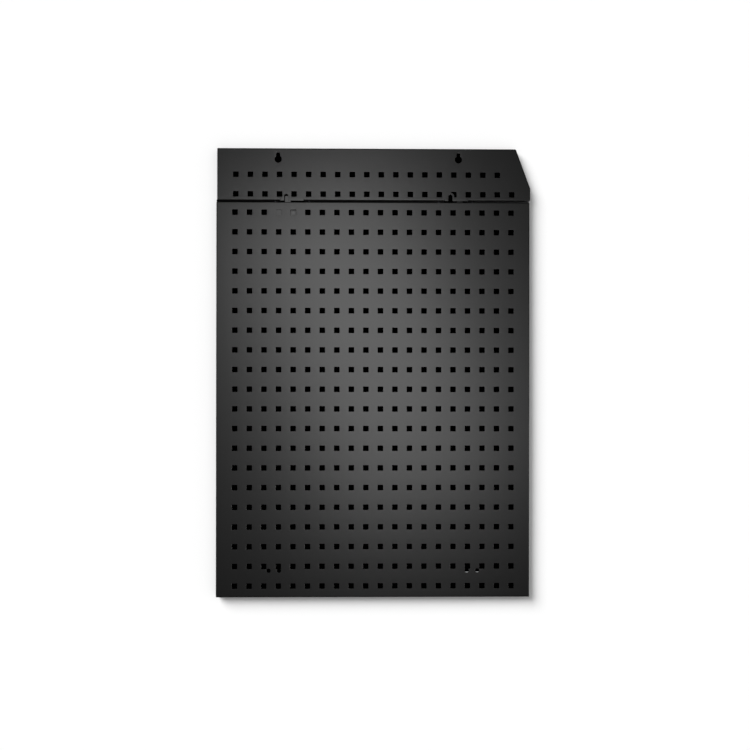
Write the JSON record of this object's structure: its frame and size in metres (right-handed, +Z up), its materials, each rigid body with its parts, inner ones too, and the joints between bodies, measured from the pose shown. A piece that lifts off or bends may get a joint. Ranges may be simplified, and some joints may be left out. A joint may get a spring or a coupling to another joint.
{
  "type": "pegboard tool wall",
  "caption": "Wall-hung tool panel of black sheet steel with a grid of square peg holes, and a perforated header with a sloping end that lifts off above it.",
  "frame": {"origin": "midway between the outer lower fixing holes, on the main panel's front face", "axes": "+X to the right seen from the front, -Y out of the front face, +Z up"},
  "size_m": [0.6095, 0.02, 0.8701],
  "materials": {
    "black_powder_coat": "satin, fine texture",
    "bracket_coat": "satin",
    "zinc_plate": "bright zinc",
    "black_fastener": "black zinc"
  },
  "bodies": {
    "wall_panel": {"main_panel": "black_powder_coat", "joining_bracket_left": "bracket_coat", "joining_bracket_right": "bracket_coat", "bracket_screws": "black_fastener", "bracket_washers": "black_fastener", "bracket_nuts": "black_fastener", "lower_spacer_left": "zinc_plate", "lower_spacer_right": "zinc_plate"},
    "header": {"header_panel": "black_powder_coat"}
  },
  "joints": [
    {"name": "header_lift", "type": "slide", "parent": "wall_panel", "child": "header", "axis": [0, 0, 1], "range_m": [0, 0.0102]}
  ]
}
